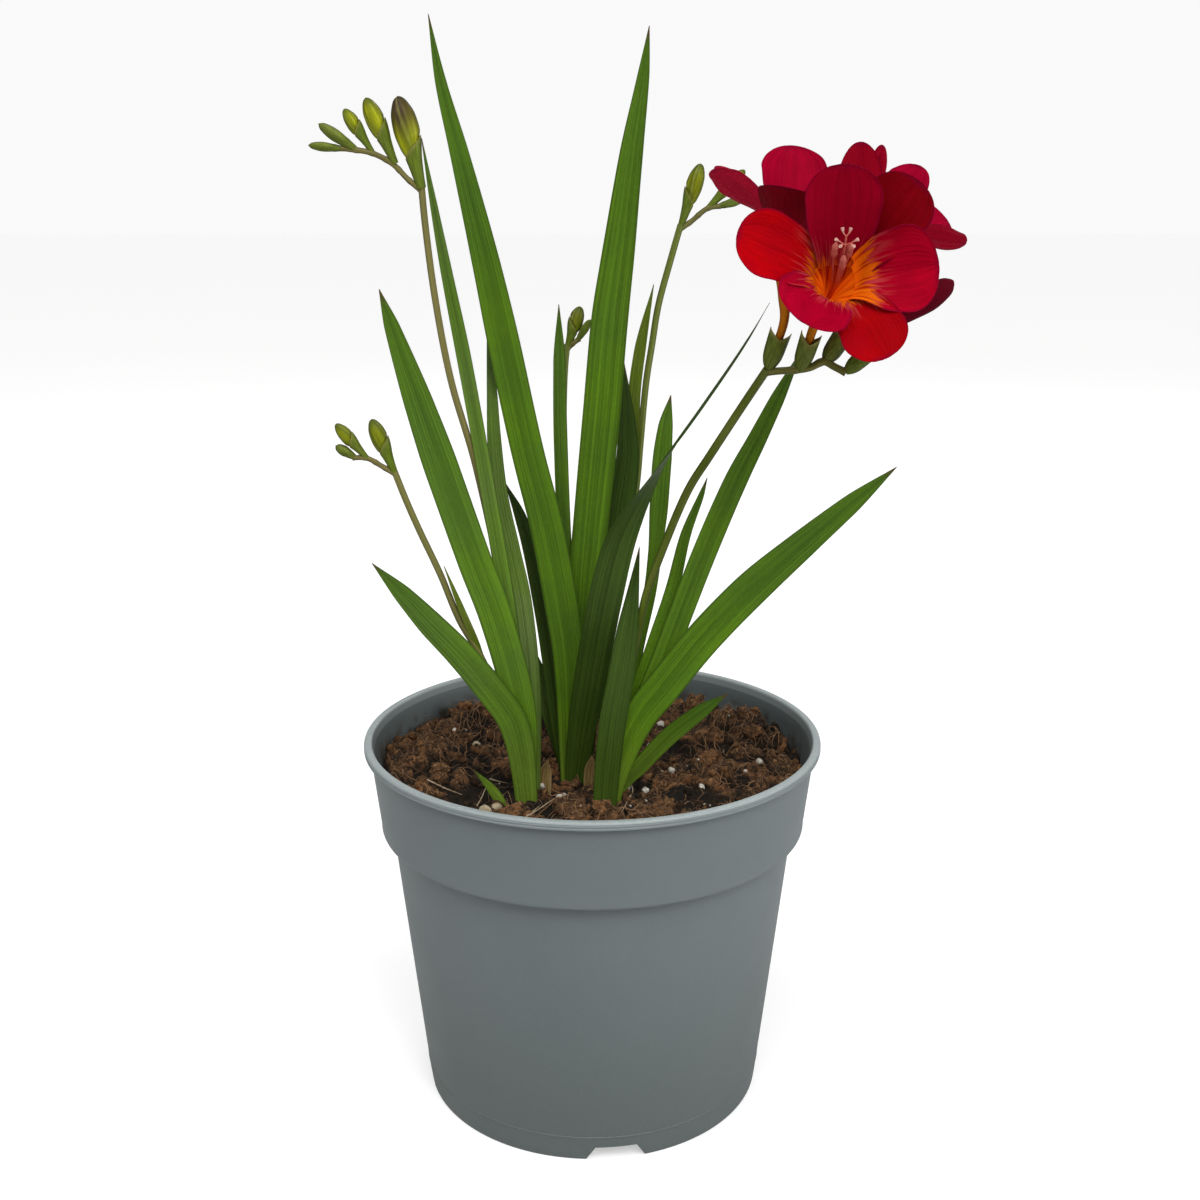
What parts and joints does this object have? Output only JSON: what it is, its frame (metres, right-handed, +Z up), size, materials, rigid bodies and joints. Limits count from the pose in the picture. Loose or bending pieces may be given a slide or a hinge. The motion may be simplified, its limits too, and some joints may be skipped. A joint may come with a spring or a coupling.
{
  "type": "potted freesia",
  "caption": "Potted freesia in bloom: sword leaves, budded stems and an arched spray of red flowers standing in a filled grower's pot with a deep collar.",
  "frame": {"origin": "middle of the pot's underside, on the plane that it rests on", "axes": "+Z up along the pot, -Y towards the front, the side that the open flowers lean to, and +X to the right seen from the front"},
  "size_m": [0.2071, 0.1777, 0.3885],
  "materials": {
    "pot": "satin",
    "soil": "rough",
    "corm": "matte",
    "sheath": "matte",
    "leaf": "satin",
    "dark_leaf": "satin",
    "stem": "satin",
    "green_stem": "satin",
    "bud": "satin",
    "petal": "satin",
    "dark_petal": "satin",
    "stamen": "matte"
  },
  "bodies": {
    "root": {"bud_left_1": "bud", "bud_left_2": "bud", "bud_left_3": "bud", "bud_left_4": "bud", "bud_left_5": "bud", "bud_middle_1": "bud", "bud_middle_2": "bud", "bud_middle_3": "bud", "corm_left": "corm", "corm_middle": "corm", "corm_right": "corm", "flower_1": "petal", "flower_2": "petal", "flower_3": "petal", "flower_bud": "dark_petal", "leaf_left_1": "leaf", "leaf_left_2": "leaf", "leaf_left_3": "leaf", "leaf_left_4": "dark_leaf", "leaf_left_5": "leaf", "leaf_middle_1": "leaf", "leaf_middle_2": "leaf", "leaf_middle_3": "leaf", "leaf_middle_4": "dark_leaf", "leaf_middle_5": "dark_leaf", "leaf_middle_6": "dark_leaf", "leaf_middle_7": "dark_leaf", "leaf_right_1": "leaf", "leaf_right_3": "leaf", "leaf_right_4": "leaf", "leaf_right_5": "leaf", "leaf_right_6": "leaf", "leaf_right_7": "dark_leaf", "pot": "pot", "sheath_left": "sheath", "sheath_middle": "sheath", "soil": "soil", "stamens_1": "stamen", "stamens_2": "stamen", "stamens_3": "stamen", "stem_left_1": "stem", "stem_left_2": "stem", "stem_middle_1": "green_stem", "stem_middle_2": "green_stem", "stem_right_1": "stem"}
  },
  "joints": []
}
